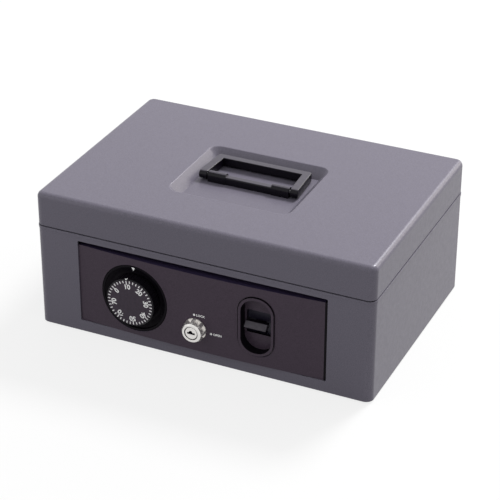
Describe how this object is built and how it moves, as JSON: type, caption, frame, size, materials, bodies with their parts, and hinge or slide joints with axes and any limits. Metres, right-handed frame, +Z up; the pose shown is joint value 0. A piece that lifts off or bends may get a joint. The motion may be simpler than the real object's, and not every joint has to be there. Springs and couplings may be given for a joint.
{
  "type": "cash box",
  "caption": "Grey sheet-steel cash box with hinged lid, folding recessed handle, bowed front panel with combination dial, key lock and thumb slide, and a lift-out coin tray.",
  "frame": {"origin": "on the table under the middle of the closed box, lock and hinges included", "axes": "+X to the right seen from the front, +Y to the back where the hinges are, +Z up"},
  "size_m": [0.3108, 0.2322, 0.1284],
  "materials": {
    "body_paint": "fine metallic grey paint",
    "inner_paint": "grey paint",
    "panel_paint": "dark grey satin",
    "black_plastic": "black satin",
    "ring_plastic": "dull black",
    "dial_face": "dark grey satin",
    "slide_plastic": "dark grey satin",
    "tray_plastic": "grained",
    "rubber": "matt",
    "nickel": "bright nickel",
    "brass": "turned",
    "hinge_paint": "fine metallic grey paint",
    "dark_steel": "black oxide steel",
    "zinc_steel": "zinc plated"
  },
  "bodies": {
    "box": {"body_shell": "body_paint", "bottom_plate": "inner_paint", "cover_posts": "zinc_steel", "cover_screws": "zinc_steel", "dial_ring": "ring_plastic", "feet": "rubber", "front_panel": "panel_paint", "hinge_body_leaf_left": "hinge_paint", "hinge_body_leaf_right": "hinge_paint", "hinge_body_rivets": "zinc_steel", "hinge_pin_left": "zinc_steel", "hinge_pin_right": "zinc_steel", "latch_studs": "zinc_steel", "lock_housing": "nickel", "lock_nut": "zinc_steel", "lock_plate": "dark_steel", "mechanism_cover": "inner_paint", "rim_collar": "inner_paint", "slide_bezel": "panel_paint", "slide_spring": "zinc_steel", "tray_rail_left": "inner_paint", "tray_rail_right": "inner_paint", "wheel_post": "zinc_steel", "wheel_spacers": "brass"},
    "lid": {"lid_shell": "body_paint", "lid_striker": "zinc_steel", "hinge_lid_leaf_left": "hinge_paint", "hinge_lid_leaf_right": "hinge_paint", "hinge_lid_rivets": "zinc_steel", "handle_base": "black_plastic", "handle_plate": "zinc_steel", "handle_screws": "zinc_steel", "handle_pins": "zinc_steel"},
    "handle": {"handle_bail": "black_plastic"},
    "dial": {"dial_knob": "black_plastic", "dial_face": "dial_face", "dial_spindle": "zinc_steel", "drive_cam": "brass", "spindle_nut": "zinc_steel"},
    "wheel_1": {"tumbler_wheel_1": "brass"},
    "wheel_2": {"tumbler_wheel_2": "brass"},
    "wheel_3": {"tumbler_wheel_3": "brass"},
    "key_plug": {"lock_plug": "nickel", "lock_cam": "zinc_steel", "lock_cam_screw": "zinc_steel"},
    "thumb_slide": {"slide_button": "slide_plastic", "latch_plate": "dark_steel"},
    "tray": {"coin_tray": "tray_plastic", "tray_dividers": "tray_plastic"}
  },
  "joints": [
    {"name": "lid_hinge", "type": "hinge", "parent": "box", "child": "lid", "pos_m": [0, 0.11335, 0.0974], "axis": [-1, 0, 0], "range_deg": [0, 100]},
    {"name": "handle_fold", "type": "hinge", "parent": "lid", "child": "handle", "pos_m": [0, -0.00535, 0.1244], "axis": [1, 0, 0], "range_deg": [0, 95]},
    {"name": "dial_spin", "type": "hinge", "parent": "box", "child": "dial", "pos_m": [-0.061, -0.10435, 0.0482], "axis": [0, -1, 0], "continuous": true},
    {"name": "wheel_1_spin", "type": "hinge", "parent": "box", "child": "wheel_1", "pos_m": [-0.061, -0.10435, 0.0482], "axis": [0, -1, 0], "continuous": true},
    {"name": "wheel_2_spin", "type": "hinge", "parent": "box", "child": "wheel_2", "pos_m": [-0.061, -0.10435, 0.0482], "axis": [0, -1, 0], "continuous": true},
    {"name": "wheel_3_spin", "type": "hinge", "parent": "box", "child": "wheel_3", "pos_m": [-0.061, -0.10435, 0.0482], "axis": [0, -1, 0], "continuous": true},
    {"name": "key_turn", "type": "hinge", "parent": "box", "child": "key_plug", "pos_m": [-0.0028, -0.10435, 0.034], "axis": [0, -1, 0], "range_deg": [0, 90]},
    {"name": "thumb_press", "type": "slide", "parent": "box", "child": "thumb_slide", "axis": [0, 0, -1], "range_m": [0, 0.008], "stiffness_N_per_m": 400, "springref_m": -0.006, "deforming": ["slide_spring"]},
    {"name": "tray_lift", "type": "slide", "parent": "box", "child": "tray", "axis": [0, 0, 1], "range_m": [0, 0.02]}
  ],
  "couplings": [
    {"joint": "wheel_1_spin", "follows": "dial_spin", "ratio": 1},
    {"joint": "wheel_2_spin", "follows": "dial_spin", "ratio": 1},
    {"joint": "wheel_3_spin", "follows": "dial_spin", "ratio": 1}
  ]
}
